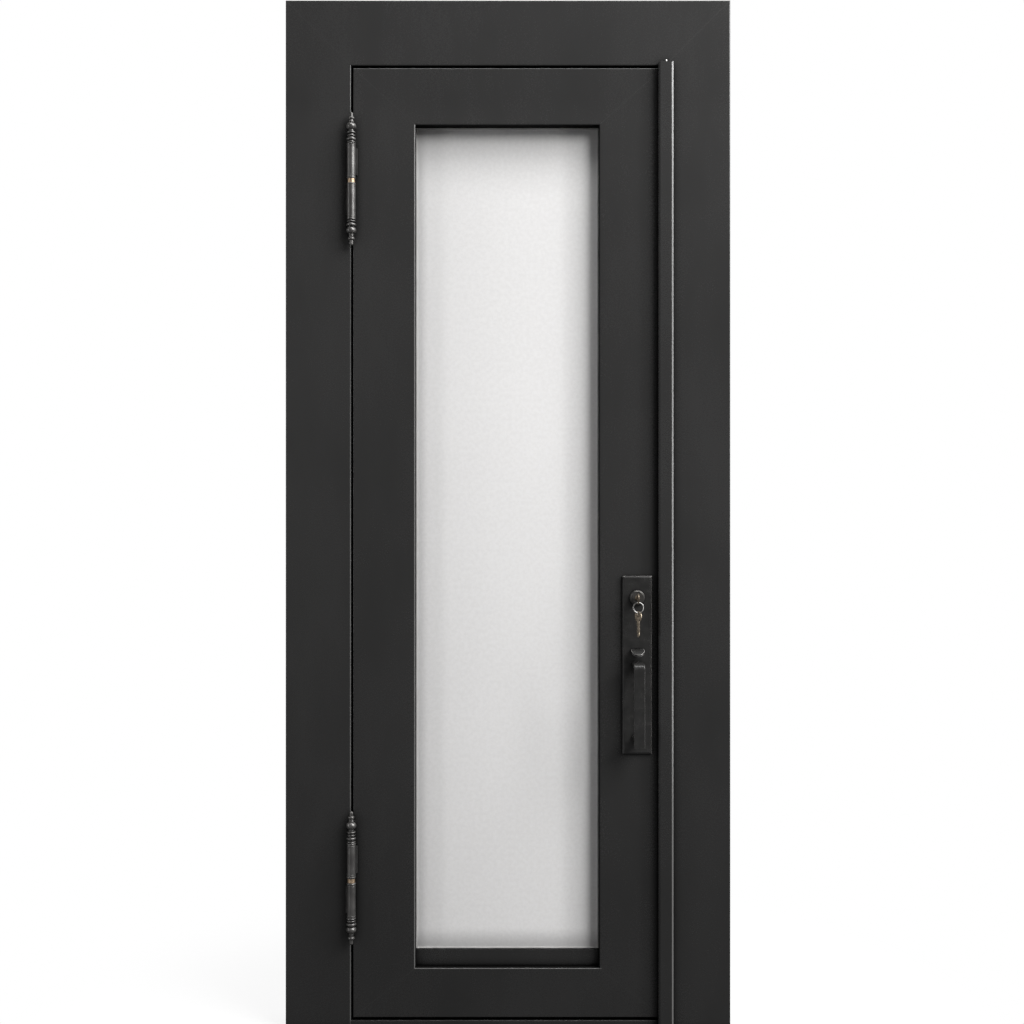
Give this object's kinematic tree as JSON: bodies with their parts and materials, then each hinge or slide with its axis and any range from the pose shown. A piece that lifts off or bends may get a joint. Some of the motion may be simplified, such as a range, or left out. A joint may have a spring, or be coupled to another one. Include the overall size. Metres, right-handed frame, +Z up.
{
  "type": "door",
  "caption": "Outswing steel entrance door with a tall frosted lite, hung on turned barrel hinges in a wide flush frame, with thumb-latch pull, keyed lock and astragal strip.",
  "frame": {"origin": "middle of the sill's underside, halfway through the frame's depth", "axes": "+Z up, -Y towards the outdoor side that the picture shows, +X towards the lock side"},
  "size_m": [1.142, 0.19, 2.644],
  "materials": {
    "frame_coat": "matte charcoal powder coat",
    "leaf_coat": "matte charcoal powder coat",
    "black_hardware": "satin black",
    "dark_nickel": "dark nickel",
    "hinge_iron": "dark oiled iron",
    "hinge_brass": "aged",
    "key_brass": "worn",
    "bare_steel": "brushed",
    "frosted_glass": "satin etched",
    "rubber": "matte",
    "glazing_tape": "matte",
    "spacer": "mill"
  },
  "bodies": {
    "frame": {"hinge_jamb": "frame_coat", "strike_jamb": "frame_coat", "head_jamb": "frame_coat", "threshold": "frame_coat", "hinge_stop": "frame_coat", "strike_stop": "frame_coat", "head_stop": "frame_coat", "hinge_seal": "rubber", "strike_seal": "rubber", "head_seal": "rubber", "sill_seal": "rubber", "latch_strike": "bare_steel", "deadbolt_strike": "bare_steel", "strike_screws": "bare_steel", "top_hinge_frame_half": "hinge_iron", "top_hinge_pin": "bare_steel", "top_hinge_lower_washer": "hinge_brass", "bottom_hinge_frame_half": "hinge_iron", "bottom_hinge_pin": "bare_steel", "bottom_hinge_lower_washer": "hinge_brass"},
    "leaf": {"hinge_stile": "leaf_coat", "lock_stile": "leaf_coat", "top_rail": "leaf_coat", "bottom_rail": "leaf_coat", "astragal": "leaf_coat", "astragal_pin": "bare_steel", "outer_glass": "frosted_glass", "inner_glass": "frosted_glass", "glass_spacer": "spacer", "glazing_tape": "glazing_tape", "setting_blocks": "rubber", "lite_bar": "leaf_coat", "bead_top": "leaf_coat", "bead_bottom": "leaf_coat", "bead_hinge_side": "leaf_coat", "bead_lock_side": "leaf_coat", "bead_screws": "black_hardware", "top_hinge_leaf_half": "hinge_iron", "top_hinge_upper_washer": "hinge_brass", "bottom_hinge_leaf_half": "hinge_iron", "bottom_hinge_upper_washer": "hinge_brass", "handle_plate": "black_hardware", "pull_grip": "black_hardware", "grip_post": "black_hardware", "lock_cylinder": "dark_nickel", "lock_case": "bare_steel", "lock_forend": "bare_steel", "forend_screws": "bare_steel", "inside_plate": "black_hardware", "through_bolts": "black_hardware"},
    "thumb": {"thumb_piece": "black_hardware"},
    "latch": {"latch_bolt": "bare_steel"},
    "bolt": {"deadbolt": "bare_steel"},
    "plug": {"key_plug": "key_brass", "lock_key": "key_brass"},
    "ring": {"key_ring": "bare_steel"},
    "spare": {"spare_key": "key_brass"},
    "lever": {"inside_lever": "black_hardware"},
    "turn": {"turn_piece": "black_hardware"}
  },
  "joints": [
    {"name": "leaf_swing", "type": "hinge", "parent": "frame", "child": "leaf", "pos_m": [-0.4005, -0.074, 1.25], "axis": [0, 0, -1], "range_deg": [0, 160]},
    {"name": "thumb_press", "type": "hinge", "parent": "leaf", "child": "thumb", "pos_m": [0.331, -0.054, 0.9735], "axis": [1, 0, 0], "range_deg": [0, 8], "stiffness_Nm_per_rad": 0.8, "springref_deg": -17.19},
    {"name": "latch_slide", "type": "slide", "parent": "leaf", "child": "latch", "axis": [1, 0, 0], "range_m": [0, 0.014]},
    {"name": "key_turn", "type": "hinge", "parent": "leaf", "child": "plug", "pos_m": [0.331, -0.06, 1.111], "axis": [0, 1, 0], "range_deg": [0, 90]},
    {"name": "deadbolt_slide", "type": "slide", "parent": "leaf", "child": "bolt", "axis": [1, 0, 0], "range_m": [0, 0.025]},
    {"name": "turn_piece_turn", "type": "hinge", "parent": "leaf", "child": "turn", "pos_m": [0.331, -0.06, 1.111], "axis": [0, 1, 0], "range_deg": [0, 90]},
    {"name": "lever_turn", "type": "hinge", "parent": "leaf", "child": "lever", "pos_m": [0.331, 0, 0.975], "axis": [0, -1, 0], "range_deg": [0, 45], "stiffness_Nm_per_rad": 1, "springref_deg": -28.65},
    {"name": "ring_swing", "type": "hinge", "parent": "plug", "child": "ring", "pos_m": [0.331, -0.096, 1.0997], "axis": [1, 0, 0], "range_deg": [-45, 5]},
    {"name": "spare_key_swing", "type": "hinge", "parent": "ring", "child": "spare", "pos_m": [0.331, -0.096, 1.0739], "axis": [1, 0, 0], "range_deg": [-40, 8]}
  ],
  "couplings": [
    {"joint": "deadbolt_slide", "follows": "key_turn", "m_per_rad": 0.0159},
    {"joint": "turn_piece_turn", "follows": "key_turn", "ratio": 1}
  ]
}
